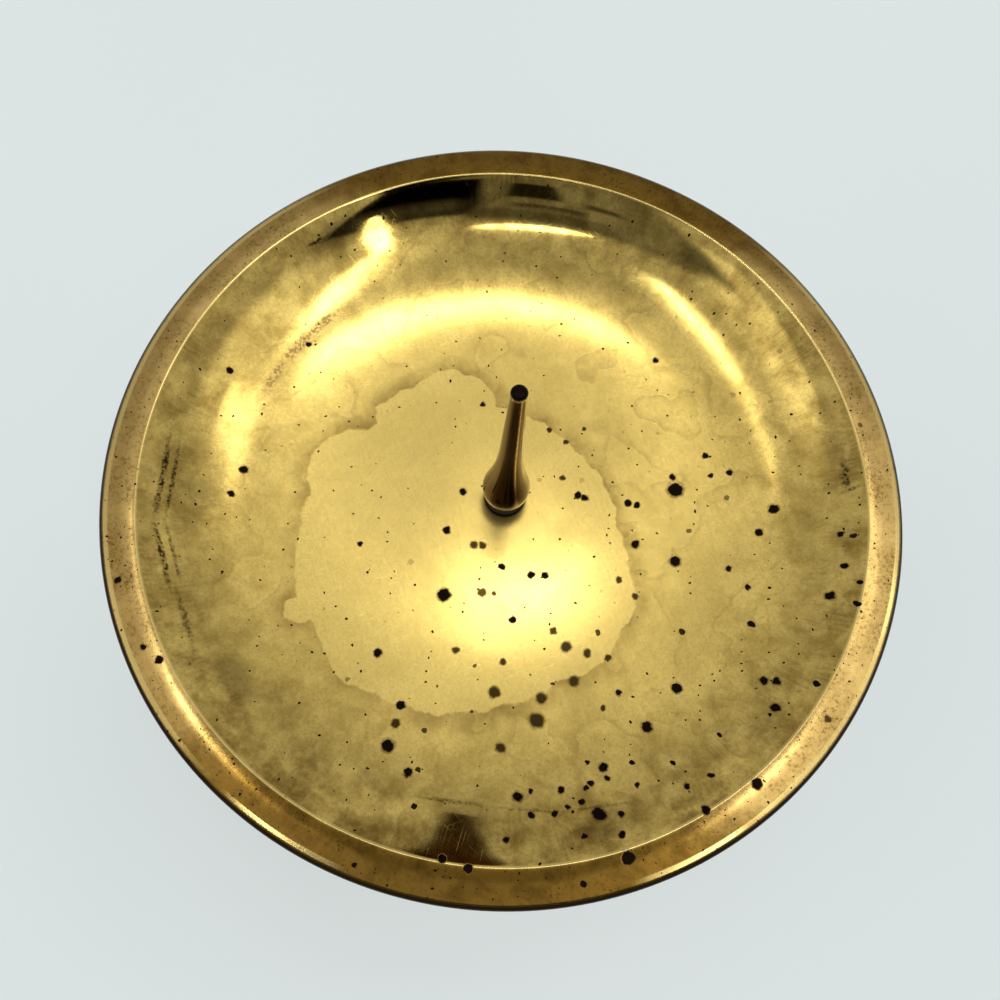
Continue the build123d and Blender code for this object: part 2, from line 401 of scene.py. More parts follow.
# Marks on the dish. Water stain, as round lobes that run together: x, y and radius
STAIN_LOBES = [
    (-7, -12, 32), (-30, 0, 10), (-13, 17, 9.5), (-21, 13, 7.5), (8, -17, 19.5), (-20, -31, 10.5),
    (-35.5, -28.5, 2.6),
]
# Corrosion spots: x, y and radius
BLACK_SPOTS = [
    (34, 6.5, 1.7), (33.2, 9.1, 0.8), (39.4, 14.5, 0.7), (44.4, 11.2, 0.7), (40.8, 10.2, 0.6), (53, 4, 1.1),
    (50.5, -1, 0.8), (62.5, -13.5, 0.95), (35, -8.5, 1.2), (-9, -21.5, 1.4), (-14.5, -51, 1.3),
    (-13.5, -43.5, 0.9), (-10, -55, 0.9), (9.5, -56.5, 1.0), (24, -49.5, 0.9), (22, -52.5, 0.7),
    (23.5, -57.5, 1.3), (28.3, -63.7, 1.3), (31.4, -41.4, 1.1), (36.5, -33.5, 1.1), (53.5, -30.5, 0.8),
    (51.5, -30.5, 0.8), (53, -35.5, 0.9), (49, -49.2, 1.0), (27.5, 34.5, 0.7), (-58, 16, 0.7),
    (-44.5, 26, 0.6), (-51.5, -3, 0.9), (-52.5, -8.5, 0.7), (-58.3, -41, 0.55), (-55, -42.7, 0.75),
    (-65.7, -30, 0.65), (-19.5, -34.5, 0.9), (14.6, 2.6, 0.8), (16, 2.2, 0.8), (24.8, 2.4, 0.8),
    (26.6, 2.3, 0.7), (27, -6, 0.9), (1.3, -14.3, 0.7), (-8.5, 0, 0.8), (-10.5, -8.5, 0.8),
    (7.2, -15.2, 0.75), (9.9, -14.8, 0.75), (-26.8, -13.9, 0.6), (-7.2, 19.7, 0.6), (4.8, -24.5, 0.7),
    (26, -35.7, 0.6), (-1.9, -67.8, 0.8), (2.5, -68.7, 0.9), (40.7, -54.5, 0.8), (45.2, -9, 0.7),
    (48.8, -12.4, 0.6), (49.5, -19.8, 0.7), (64.8, -7.7, 0.6), (64.3, -1.2, 0.6), (24.8, -51.3, 0.6),
    (21.2, -53.5, 0.5), (20.6, -55.9, 0.6), (16.9, -54.4, 0.7), (16.1, -58.3, 0.6), (18.3, -57, 0.5),
    (12.1, -59.2, 0.6), (11.7, -55.3, 0.5), (8.2, -63.7, 0.6), (27.2, -57, 0.6), (27.3, -60.2, 0.6),
    (21.1, -61.3, 0.5), (38.1, -50.9, 0.6), (42.1, -48.6, 0.6), (29.9, -51.8, 0.5),
]
BROWN_SPOTS = [
    (11.5, -42.8, 1.8), (3.1, -38.7, 1.4), (11.9, -38.6, 1.3), (17.6, -34.6, 1.3), (15.5, -28.3, 1.3),
    (5.5, -48.5, 1.2), (-1.8, -20, 1.1), (0.5, -19.8, 0.6), (-5.1, -31.8, 0.9), (4, -32.8, 0.8),
    (24.4, -13.7, 0.8), (12.7, -25.6, 0.9), (-13.9, -46.9, 1.1), (19.6, -29, 1.0), (27.8, -16.7, 0.8),
    (23.5, -29.4, 0.8), (7.2, 15.9, 0.7), (10.9, 13.8, 0.7), (14.3, 17.3, 0.6), (11.1, 5.8, 0.7),
    (23.4, -38.9, 0.7), (60.9, -36.7, 0.8), (-4.7, -10.8, 1.0), (-3, -10.6, 0.9),
]
# Strewn specks: width of a cell, share of cells left empty, and largest radius as a share of the cell
LARGE_SPECKS = (7.5, 0.8, 0.08)
FINE_SPECKS = (2.4, 0.82, 0.1)
RIM_SPECKS = (1.1, 0.8, 0.12)
# Scuffs and lines of grime: x, y, turn, half length, half width and depth of tone
SMUDGES = [
    (-64.2, -9, -85, 9.5, 0.5, 1.0), (-62.6, -8.6, -85, 8.5, 0.35, 0.9), (-60.4, -23.7, -64, 7.5, 0.5, 0.95),
    (-59.0, -22.6, -64, 6.5, 0.35, 0.8), (-54, -34, -60, 6, 0.6, 0.7), (-45.7, 46.7, 44, 2.9, 0.35, 1.0),
    (64.7, 10.5, 98, 3.4, 0.8, 0.9), (65.6, 7.6, 25, 1.7, 0.4, 0.8), (-2, -58.8, 1, 6.5, 0.4, 0.6),
    (12, -58.4, 4, 7, 0.3, 0.5), (24, -56.1, 15, 7, 0.3, 0.45),
]
# Dull patches, listed as the scuffs are. The first, at the front of the wall, is painted shade that stands in
# for the pricket's dark reflection; the last, broad one on the right of the floor is painted shade that
# darkens a reflection there
DULL_AND_SHADED_PATCHES = [
    (1.3, -61.6, 0, 5.3, 5.0, 0.25), (-43, -43.5, -45, 6, 3, 0.4), (-42.5, 49, 44, 6, 2.2, 0.5),
    (-34, 55, 32, 5, 1.8, 0.4), (-29, 57.5, 27, 6, 1.4, 0.4), (34.2, 54.7, 148, 7, 2.2, 0.45),
    (45, 43, 134, 5, 1.6, 0.25), (-57.5, -9.5, -20, 4, 2.4, 0.3), (52, -38, 55, 5, 2.5, 0.25),
    (25, -59, 20, 6, 2.5, 0.35), (34, -14, 20, 15, 20, 0.1),
]
# Sandy scour marks, listed as the scuffs are
SCOURS = [
    (-42.7, 31, 54, 5.8, 1.1, 0.9), (-46.6, 24.8, 62, 5.4, 1.4, 1.0), (-49.9, 17.2, 71, 6.0, 1.2, 0.9),
    (-61.5, 21, 72, 9, 2.2, 0.35), (-56, 33, 60, 7, 2.0, 0.35), (62, 18, 106, 8, 1.6, 0.3),
]
# Places along the front where the rim's outer edge is rubbed bright: x and y
RUBBED_EDGES = [(-29, -68.5), (41, -63)]
# Ridges of the rim that hands and cloths rub
INNER_RIDGE_RADIUS = 68.3
OUTER_RIDGE_RADIUS = 73.6


def shifted(add, flat, size, shift, **noise):
    """The place shifted to and fro by noise of this size, which gives marks a ragged edge."""
    drift = add("TexNoise", {"Vector": flat, "Scale": 1 / size, **noise})
    drift = add("VectorMath", {0: drift.outputs["Color"], 1: (0.5, 0.5, 0.5)}, operation="SUBTRACT")
    drift = add("VectorMath", {0: drift, 1: (shift, shift, 0)}, operation="MULTIPLY")
    return add("VectorMath", {0: flat, 1: drift}, operation="ADD")


def water_marks(add, flat, cloudlets):
    """The water stain, the brown tide mark round it, and dried tide lines elsewhere."""
    drifted = shifted(add, flat, 7, 5, Detail=6, Roughness=0.6)
    shore = 100.0
    for x, y, radius in STAIN_LOBES:
        off_shore = add("VectorMath", {0: drifted, 1: (x, y, 0)}, operation="DISTANCE")
        off_shore = add("Math", {0: off_shore, 1: radius}, operation="SUBTRACT")
        shore = add("Math", {0: shore, 1: off_shore}, operation="MINIMUM")
    stain = add("MapRange", {"Value": shore, "From Min": 0.25, "From Max": -0.25}, **SOFT)
    bare = add("Math", {0: 1.0, 1: stain}, operation="SUBTRACT")
    patchy = add("MapRange", {"Value": cloudlets, "From Min": 0.38, "From Max": 0.62, "To Min": 0.25})
    tide = add("MapRange", {"Value": shore, "From Min": 3.6, "From Max": 0.2})
    tide = add("Math", {0: tide, 1: patchy}, operation="MULTIPLY")
    tide = add("Math", {0: tide, 1: bare}, operation="MULTIPLY")

    # Tide lines, sharp on one side and fading on the other
    level = add("TexNoise", {"Vector": drifted, "Scale": 1 / 30, "Detail": 3, "Roughness": 0.55})
    lines = 0.0
    for water_line in (0.44, 0.56):
        over = add("Math", {0: level, 1: water_line}, operation="SUBTRACT")
        fade = add("MapRange", {"Value": over, "From Min": 0.035, "From Max": 0.0})
        step = add("MapRange", {"Value": over, "From Min": -0.003, "From Max": 0.0})
        line = add("Math", {0: fade, 1: step}, operation="MULTIPLY")
        lines = add("Math", {0: lines, 1: line}, operation="MAXIMUM")
    lines = add("Math", {0: lines, 1: bare}, operation="MULTIPLY")
    lines = add("Math", {0: lines, 1: patchy}, operation="MULTIPLY")
    return stain, tide, lines


def drawn_out(add, flat, turn, length, width, **noise):
    """Noise drawn out in one direction, to this length and width."""
    lay = {"Vector": flat, "Rotation": (0, 0, radians(turn)), "Scale": (length, width, 1)}
    return add("TexNoise", {"Vector": add("Mapping", lay, vector_type="TEXTURE"), "Scale": 1, **noise})


def wiping_marks(add, flat):
    """Fine straight scratches in three directions, about 6 mm long, and soft scuffs in two, about 4 mm."""
    scratches = 0.0
    for turn in (25, 80, 145):
        streak = drawn_out(add, flat, turn, 6, 0.16, Detail=1)
        streak = add("MapRange", {"Value": streak, "From Min": 0.68, "From Max": 0.78})
        scratches = add("Math", {0: scratches, 1: streak}, operation="MAXIMUM")
    scuffs = 0.5
    for turn in (60, 115):
        stroke = drawn_out(add, flat, turn, 4, 0.6, Detail=3, Roughness=0.65)
        scuffs = add("Mix", {"Factor": 0.5, "A": scuffs, "B": stroke})
    return scratches, add("MapRange", {"Value": scuffs, "From Min": 0.42, "From Max": 0.6})


def wall_strokes(add, axes, reach, brow, cloudlets):
    """Short strokes up the wall below the rim, in patches, about 4.5 mm long and 0.5 mm wide."""
    bearing = add("Math", {0: axes.outputs["Y"], 1: axes.outputs["X"]}, operation="ARCTAN2")
    round_wall = add("Math", {0: bearing, 1: 130}, operation="MULTIPLY")
    up_wall = add("Math", {0: reach, 1: 0.22}, operation="MULTIPLY")
    polar = add("CombineXYZ", {"X": round_wall, "Y": up_wall})
    strokes = add("TexNoise", {"Vector": polar, "Scale": 1, "Detail": 3, "Roughness": 0.6})
    strokes = add("MapRange", {"Value": strokes, "From Min": 0.4, "From Max": 0.7})
    strokes = add("Math", {0: strokes, 1: brow}, operation="MULTIPLY")
    patches = add("MapRange", {"Value": cloudlets, "From Min": 0.45, "From Max": 0.6})
    return add("Math", {0: strokes, 1: patches}, operation="MULTIPLY")


def rubbed_ridges(add, flat, reach, shaded_rim_ends):
    """Where the rim is rubbed bright: all along its inner ridge, and on the sides of its outer one."""
    sides = add("Math", {0: 1.0, 1: shaded_rim_ends}, operation="SUBTRACT")
    for x, y in RUBBED_EDGES:
        place = add("VectorMath", {0: flat, 1: (x, y, 0)}, operation="DISTANCE")
        place = add("MapRange", {"Value": place, "From Min": 13, "From Max": 6}, **SOFT)
        sides = add("Math", {0: sides, 1: place}, operation="MAXIMUM")
    rubbed = 0.0
    for radius, width, share in ((INNER_RIDGE_RADIUS, 0.3, 1.0), (OUTER_RIDGE_RADIUS, 0.5, sides)):
        ridge = add("Math", {0: reach, 1: radius}, operation="SUBTRACT")
        ridge = add("Math", {0: ridge}, operation="ABSOLUTE")
        ridge = add("MapRange", {"Value": ridge, "From Min": width, "From Max": width / 2}, **SOFT)
        ridge = add("Math", {0: ridge, 1: share}, operation="MULTIPLY")
        rubbed = add("Math", {0: rubbed, 1: ridge}, operation="MAXIMUM")
    return rubbed


def nearest_spot(add, ragged, spots):
    """Distance to the nearest spot, in radii of that spot."""
    nearest = 9.0
    for x, y, radius in spots:
        away = add("VectorMath", {0: ragged, 1: (x, y, 0)}, operation="DISTANCE")
        away = add("Math", {0: away, 1: radius}, operation="DIVIDE")
        nearest = add("Math", {0: nearest, 1: away}, operation="MINIMUM")
    return nearest


def soft_marks(add, ragged, marks):
    """Marks with soft edges, each to its own depth of tone."""
    toned = 0.0
    for x, y, turn, half_length, half_width, depth in marks:
        spread = (half_length, half_width, 1)
        lay = {"Location": (x, y, 0), "Rotation": (0, 0, radians(turn)), "Scale": spread}
        mark = add("Mapping", {"Vector": ragged, **lay}, vector_type="TEXTURE")
        mark = add("VectorMath", {0: mark}, operation="LENGTH")
        mark = add("MapRange", {"Value": mark, "From Min": 1.3, "From Max": 0.4, "To Max": depth}, **SOFT)
        toned = add("Math", {0: toned, 1: mark}, operation="MAXIMUM")
    return toned


def strewn_specks(add, ragged, cell, empty, size):
    """Small specks at random, at most one in a cell."""
    cells = add("TexVoronoi", {"Vector": ragged, "Scale": 1 / cell}, voronoi_dimensions="2D")
    chance = add("SeparateColor", {0: cells.outputs["Color"]})
    there = add("Math", {0: chance.outputs["Red"], 1: empty}, operation="GREATER_THAN")
    radius = add("MapRange", {"Value": chance.outputs["Green"], "To Min": 0.3 * size, "To Max": size})
    specks = add("Math", {0: cells.outputs["Distance"], 1: radius}, operation="LESS_THAN")
    return add("Math", {0: specks, 1: there}, operation="MULTIPLY")


def dish_marks(add, place, flat, zones):
    """Black spots and brown ones, the halo round the black, smudges, dull patches, two of them painted shade,
    and scour marks.

    The zones are where the large specks, the rim's specks and all the marks lie.
    """
    front_right, rim, upper = zones
    ragged = shifted(add, flat, 1.1, 0.9, Detail=2)
    from_black = nearest_spot(add, ragged, BLACK_SPOTS)
    from_brown = nearest_spot(add, ragged, BROWN_SPOTS)
    black = add("MapRange", {"Value": from_black, "From Min": 1.0, "From Max": 0.75}, **SOFT)
    brown = add("MapRange", {"Value": from_brown, "From Min": 1.1, "From Max": 0.55}, **SOFT)
    halo = add("MapRange", {"Value": from_black, "From Min": 1.25, "From Max": 1.0, "To Max": 0.5}, **SOFT)
    for kind, where in ((LARGE_SPECKS, front_right), (FINE_SPECKS, 1.0), (RIM_SPECKS, rim)):
        specks = strewn_specks(add, ragged, *kind)
        specks = add("Math", {0: specks, 1: where}, operation="MULTIPLY")
        black = add("Math", {0: black, 1: specks}, operation="MAXIMUM")
    ticks = add("TexNoise", {"Vector": place, "Scale": 1 / 0.6, "Detail": 2, "Roughness": 0.6})
    ticks = add("MapRange", {"Value": ticks, "From Min": 0.45, "From Max": 0.56, "To Min": 0.35})
    smudges = add("Math", {0: soft_marks(add, ragged, SMUDGES), 1: ticks}, operation="MULTIPLY")
    grit = add("TexNoise", {"Vector": place, "Scale": 1 / 0.6, "Detail": 2})
    grit = add("MapRange", {"Value": grit, "From Min": 0.44, "From Max": 0.56, "To Min": 0.45})
    scours = add("Math", {0: soft_marks(add, ragged, SCOURS), 1: grit}, operation="MULTIPLY")
    dull_and_shaded = soft_marks(add, ragged, DULL_AND_SHADED_PATCHES)
    marks = (black, brown, halo, smudges, dull_and_shaded, scours)
    return [add("Math", {0: mark, 1: upper}, operation="MULTIPLY") for mark in marks]


def rim_browns(add, flat, zones, noises):
    """Colour of the rim: brass browned in specks, dull but for the right front, blotched and pored, with
    painted shade at its near and far ends.

    The zones are the rim's outer part and its ends, which are painted darker as shade; the noises are the
    cloudlets, the patina and the sand.
    """
    outer_rim, shaded_rim_ends = zones
    cloudlets, patina, sand = noises
    speck = add("MapRange", {"Value": cloudlets, "From Min": 0.3, "From Max": 0.7, "To Max": 0.6})
    # Painted shade with patina: the rim's near and far ends are fully specked
    speck = add("Mix", {"Factor": shaded_rim_ends, "A": speck, "B": 1.0})
    handled = add("VectorMath", {0: flat, 1: (0.85, -0.5, 0)}, operation="DOT_PRODUCT")
    dulled = {"Value": handled, "From Min": 30, "From Max": 66, "To Min": 0.46, "To Max": 0.05}
    dulled = add("Math", {0: outer_rim, 1: add("MapRange", dulled, **SOFT)}, operation="MULTIPLY")
    blotches = add("MapRange", {"Value": patina, "From Min": 0.46, "From Max": 0.6, "To Max": 0.55})
    # Painted shade with patina: blotches only at the rim's near and far ends
    blotches = add("Math", {0: blotches, 1: shaded_rim_ends}, operation="MULTIPLY")
    pores = add("MapRange", {"Value": sand, "From Min": 0.48, "From Max": 0.66})
    pored = add("MapRange", {"Value": cloudlets, "From Min": 0.35, "From Max": 0.65, "To Max": 0.8})
    pores = add("Math", {0: pores, 1: pored}, operation="MULTIPLY")
    colour = linear("D3B26C")
    for cover, hex_colour in ((speck, "7A5C22"), (dulled, "6E5424"), (blotches, "4A3412"), (pores, "463412")):
        colour = add("Mix", {"Factor": cover, "A": colour, "B": linear(hex_colour)}, data_type="RGBA")
    return colour


def aged_spun_brass():
    """Spun brass sheet, once polished: satin floor, glossy wall, brown rim, water stain and black spots."""
    material, add, place = finish_named("aged_spun_brass")
    flat = add("VectorMath", {0: place, 1: (1, 1, 0)}, operation="MULTIPLY")
    reach = add("VectorMath", {0: flat}, operation="LENGTH")
    axes = add("SeparateXYZ", {0: place})
    facing = add("SeparateXYZ", {0: add("NewGeometry").outputs["Normal"]})

    # Zones by distance from the axis and by side
    wall = add("MapRange", {"Value": reach, "From Min": 30, "From Max": 56}, **SOFT)
    brow = add("MapRange", {"Value": reach, "From Min": 55, "From Max": 66}, **SOFT)
    rim = add("MapRange", {"Value": reach, "From Min": 68.3, "From Max": 68.8}, **SOFT)
    outer_rim = add("MapRange", {"Value": reach, "From Min": 69.8, "From Max": 71.4}, **SOFT)
    edge = add("MapRange", {"Value": reach, "From Min": 74.05, "From Max": 74.35}, **SOFT)
    # Painted shade, with patina: the rim's near and far ends along Y are browned darker, which stands in for
    # the dark reflections there
    shaded_rim_ends = add("Math", {0: axes.outputs["Y"]}, operation="ABSOLUTE")
    shaded_rim_ends = add("MapRange", {"Value": shaded_rim_ends, "From Min": 47, "From Max": 62}, **SOFT)
    front = add("MapRange", {"Value": axes.outputs["Y"], "From Min": -25, "From Max": -66}, **SOFT)
    front_right = add("VectorMath", {0: flat, 1: (0.6, -0.8, 0)}, operation="DOT_PRODUCT")
    front_right = add("MapRange", {"Value": front_right, "From Min": -30, "From Max": 50}, **SOFT)
    under = add("MapRange", {"Value": facing.outputs["Z"], "From Min": 0.1, "From Max": -0.1}, **SOFT)
    upper = add("Math", {0: 1.0, 1: under}, operation="SUBTRACT")

    # Noise of several sizes: tarnish clouds, cloudlets, patina, sand and slow waves of the sheet
    clouds = {"Vector": place, "Scale": 1 / 24, "Detail": 10, "Roughness": 0.7, "Distortion": 0.4}
    clouds = add("TexNoise", clouds)
    cloudlets = add("TexNoise", {"Vector": place, "Scale": 1 / 8, "Detail": 8, "Roughness": 0.68})
    patina = {"Vector": place, "Scale": 1 / 6, "Detail": 8, "Roughness": 0.64, "Distortion": 0.3}
    patina = add("TexNoise", patina)
    sand = add("TexNoise", {"Vector": place, "Scale": 1 / 0.55, "Detail": 3, "Roughness": 0.7})
    waves = add("TexNoise", {"Vector": place, "Scale": 1 / 11, "Detail": 1})

    # Marks
    stain, tide, lines = water_marks(add, flat, cloudlets)
    scratches, scuffs = wiping_marks(add, flat)
    strokes = wall_strokes(add, axes, reach, brow, cloudlets)
    rubbed = rubbed_ridges(add, flat, reach, shaded_rim_ends)
    marks = dish_marks(add, place, flat, (front_right, rim, upper))
    black, brown, halo, smudges, dull_and_shaded, scours = marks
    # Painted shade: a dark ring on the floor under the pricket's belly, where its foot meets the floor
    grime_and_shade = add("MapRange", {"Value": reach, "From Min": 4.5, "From Max": 3.9, "To Max": 0.95}, **SOFT)

    # Dull floor round the pricket, uneven as wax leaves it
    foot_of_pricket = add("Math", {0: cloudlets, 1: 8, 2: reach}, operation="MULTIPLY_ADD")
    foot_of_pricket = add("MapRange", {"Value": foot_of_pricket, "From Min": 19, "From Max": 8.5}, **SOFT)

    # Tarnish and patina, weaker in the stain; fog, stronger at the front; grain, stronger up the wall
    tarnish = add("MapRange", {"Value": clouds, "From Min": 0.36, "From Max": 0.68})
    finer = add("MapRange", {"Value": cloudlets, "From Min": 0.35, "From Max": 0.7, "To Max": 0.7})
    tarnish = add("Math", {0: tarnish, 1: finer}, operation="MAXIMUM")
    washed = add("MapRange", {"Value": stain, "To Min": 0.56, "To Max": 0.38})
    tarnish = add("Math", {0: tarnish, 1: washed}, operation="MULTIPLY")
    fog = add("MapRange", {"Value": cloudlets, "From Min": 0.42, "From Max": 0.66})
    fog = add("Math", {0: fog, 1: brow}, operation="MULTIPLY")
    foggy = add("MapRange", {"Value": front, "To Min": 0.38, "To Max": 0.85})
    fog = add("Math", {0: fog, 1: foggy}, operation="MULTIPLY")
    browned = add("MapRange", {"Value": patina, "From Min": 0.42, "From Max": 0.66})
    climb = {"Value": reach, "From Min": 42, "From Max": 60, "To Min": 0.16, "To Max": 0.6}
    browned = add("Math", {0: browned, 1: add("MapRange", climb, **SOFT)}, operation="MULTIPLY")
    washed = add("MapRange", {"Value": stain, "To Min": 1.0, "To Max": 0.3})
    browned = add("Math", {0: browned, 1: washed}, operation="MULTIPLY")
    grain = add("MapRange", {"Value": sand, "From Min": 0.45, "From Max": 0.68})
    grainy = add("MapRange", {"Value": wall, "To Min": 0.1, "To Max": 0.26})
    grain = add("Math", {0: grain, 1: grainy}, operation="MULTIPLY")

    # Colour, layer over layer
    rim_colour = rim_browns(add, flat, (outer_rim, shaded_rim_ends), (cloudlets, patina, sand))
    colour = linear("EFD074")
    for cover, layer_colour in (
        (stain, linear("ECCE74")),
        (tarnish, linear("A58F48")),
        (browned, linear("84661E")),
        (grain, linear("6E5528")),
        (add("Math", {0: scuffs, 1: 0.12}, operation="MULTIPLY"), linear("8C7438")),
        (add("Math", {0: tide, 1: 0.8}, operation="MULTIPLY"), linear("8E7236")),
        (add("Math", {0: lines, 1: 0.35}, operation="MULTIPLY"), linear("7E642E")),
        (fog, linear("70501A")),
        (add("Math", {0: strokes, 1: 0.6}, operation="MULTIPLY"), linear("7E6230")),
        (add("Math", {0: scratches, 1: 0.16}, operation="MULTIPLY"), linear("F0D48A")),
        (scours, linear("8F7440")),
        (rim, rim_colour),
        (add("Math", {0: rubbed, 1: 0.65}, operation="MULTIPLY"), linear("DCC27A")),
        (under, linear("A98545")),
        (edge, linear("2A1E10")),
        # Dull patches, two of them painted shade: the pricket's dark reflection at the front of the wall and
        # a darker area on the right of the floor
        (dull_and_shaded, linear("3A280C")),
        (smudges, linear("2A1E0C")),
        # painted shade under the pricket's belly
        (grime_and_shade, linear("2A1C0C")),
        (halo, linear("6A5026")),
        (brown, linear("3E2F16")),
        (black, linear("17100A")),
    ):
        colour = add("Mix", {"Factor": cover, "A": colour, "B": layer_colour}, data_type="RGBA")

    # Gloss and relief, the relief in millimetres
    rough = add("MapRange", {"Value": reach, "From Min": 26, "From Max": 48, "To Min": 0.15, "To Max": 0.13})
    sheen = add("MapRange", {"Value": reach, "From Min": 56, "From Max": 61}, **SOFT)
    rough = add("Mix", {"Factor": sheen, "A": rough, "B": 0.05})
    rough = add("Math", {0: tarnish, 1: 0.05, 2: rough}, operation="MULTIPLY_ADD")
    rim_rough = add("MapRange", {"Value": outer_rim, "To Min": 0.14, "To Max": 0.28})
    for cover, value in (
        (foot_of_pricket, 0.26),
        (scours, 0.35),
        (rim, rim_rough),
        (rubbed, 0.12),
        (smudges, 0.3),
        (edge, 0.22),
        (black, 0.5),
    ):
        rough = add("Mix", {"Factor": cover, "A": rough, "B": value})
    relief = add("Math", {0: waves, 1: 0.018}, operation="MULTIPLY")
    for pattern, height in ((sand, 0.001), (scratches, -0.001), (black, -0.03), (scours, -0.008)):
        relief = add("Math", {0: pattern, 1: height, 2: relief}, operation="MULTIPLY_ADD")
    bump = add("Bump", {"Height": relief, "Strength": 1.0, "Distance": MM})
    brass = {"Base Color": colour, "Roughness": rough, "Metallic": 1.0, "Normal": bump}
    add("OutputMaterial", {"Surface": add("BsdfPrincipled", brass)})
    return material


def sooted_brass():
    """Turned brass spike, browned by heat and wax: dark bronze flanks, sooty end, and painted shade below the
    belly, where the foot is made near black.
    """
    material, add, place = finish_named("sooted_turned_brass")
    height = add("SeparateXYZ", {0: place}).outputs["Z"]
    streaks = add("Mapping", {"Vector": place, "Scale": (0.8, 0.8, 9)}, vector_type="TEXTURE")
    streaks = add("TexNoise", {"Vector": streaks, "Scale": 1, "Detail": 4, "Roughness": 0.6})
    crust = add("TexNoise", {"Vector": place, "Scale": 1 / 0.5, "Detail": 4, "Roughness": 0.65})
    ragged = add("Math", {0: crust, 1: 1.2, 2: height}, operation="MULTIPLY_ADD")
    soot = add("MapRange", {"Value": ragged, "From Min": TIP_Z - 0.9, "From Max": TIP_Z + 0.2}, **SOFT)
    # Painted shade: below its belly, where it faces the floor, the spike is made near black, matt and not
    # metal
    grime_and_shade = add("MapRange", {"Value": ragged, "From Min": BELLY_Z + 0.1, "From Max": BELLY_Z - 0.7}, **SOFT)
    colour = linear("5A380A")
    for cover, hex_colour in ((streaks, "341E05"), (grime_and_shade, "140D07"), (soot, "17100C")):
        colour = add("Mix", {"Factor": cover, "A": colour, "B": linear(hex_colour)}, data_type="RGBA")
    rough = {"Value": crust, "From Min": 0.3, "From Max": 0.7, "To Min": 0.06, "To Max": 0.14}
    rough = add("MapRange", rough)
    rough = add("Mix", {"Factor": soot, "A": rough, "B": 0.22})
    rough = add("Mix", {"Factor": grime_and_shade, "A": rough, "B": 0.9})
    bare = add("Math", {0: 1.0, 1: grime_and_shade}, operation="SUBTRACT")
    relief = add("Math", {0: crust, 1: soot}, operation="MULTIPLY")
    bump = add("Bump", {"Height": relief, "Strength": 0.8, "Distance": 0.15 * MM})
    brass = {"Base Color": colour, "Roughness": rough, "Metallic": bare, "Normal": bump}
    add("OutputMaterial", {"Surface": add("BsdfPrincipled", brass)})
    return material


# Heights where two pieces meet, which hold a line of grime
SEAMS = [FOOT_TOP_Z, LOWER_TUBE_Z, KNOP_Z, CUSHION_Z, CUSHION_TOP_Z, UPPER_TUBE_Z, SEAT_Z, DISH_Z]


def turned_brass():
    """Turned and polished brass, browned by handling: lathe lines, tarnish clouds, grime along the seams."""
    material, add, place = finish_named("turned_brass_browned")
    height = add("SeparateXYZ", {0: place}).outputs["Z"]
    clouds = add("TexNoise", {"Vector": place, "Scale": 1 / 14, "Detail": 6, "Roughness": 0.6})
    mottle = add("TexNoise", {"Vector": place, "Scale": 1 / 1.6, "Detail": 4, "Roughness": 0.65})
    lathe = add("Mapping", {"Vector": place, "Scale": (40, 40, 0.3)}, vector_type="TEXTURE")
    lathe = add("TexNoise", {"Vector": lathe, "Scale": 1, "Detail": 2})
    grime_and_shade = 0.0
    for seam in SEAMS:
        line = add("Math", {0: height, 1: seam}, operation="SUBTRACT")
        line = add("Math", {0: line}, operation="ABSOLUTE")
        line = add("MapRange", {"Value": line, "From Min": 1.1, "From Max": 0.15}, **SOFT)
        grime_and_shade = add("Math", {0: grime_and_shade, 1: line}, operation="MAXIMUM")
    patches = add("MapRange", {"Value": mottle, "From Min": 0.3, "From Max": 0.6})
    grime_and_shade = add("Math", {0: grime_and_shade, 1: patches}, operation="MULTIPLY")
    spots = add("MapRange", {"Value": mottle, "From Min": 0.7, "From Max": 0.76})
    tarnish = add("MapRange", {"Value": clouds, "From Min": 0.38, "From Max": 0.68})
    colour = linear("D6B160")
    for cover, hex_colour in ((tarnish, "9A7A3C"), (grime_and_shade, "4A3519"), (spots, "3A2A14")):
        colour = add("Mix", {"Factor": cover, "A": colour, "B": linear(hex_colour)}, data_type="RGBA")
    rough = {"Value": clouds, "From Min": 0.3, "From Max": 0.7, "To Min": 0.1, "To Max": 0.22}
    rough = add("MapRange", rough)
    rough = add("Mix", {"Factor": grime_and_shade, "A": rough, "B": 0.4})
    bump = add("Bump", {"Height": lathe, "Strength": 0.5, "Distance": 0.01 * MM})
    brass = {"Base Color": colour, "Roughness": rough, "Metallic": 1.0, "Normal": bump}
    add("OutputMaterial", {"Surface": add("BsdfPrincipled", brass)})
    return material


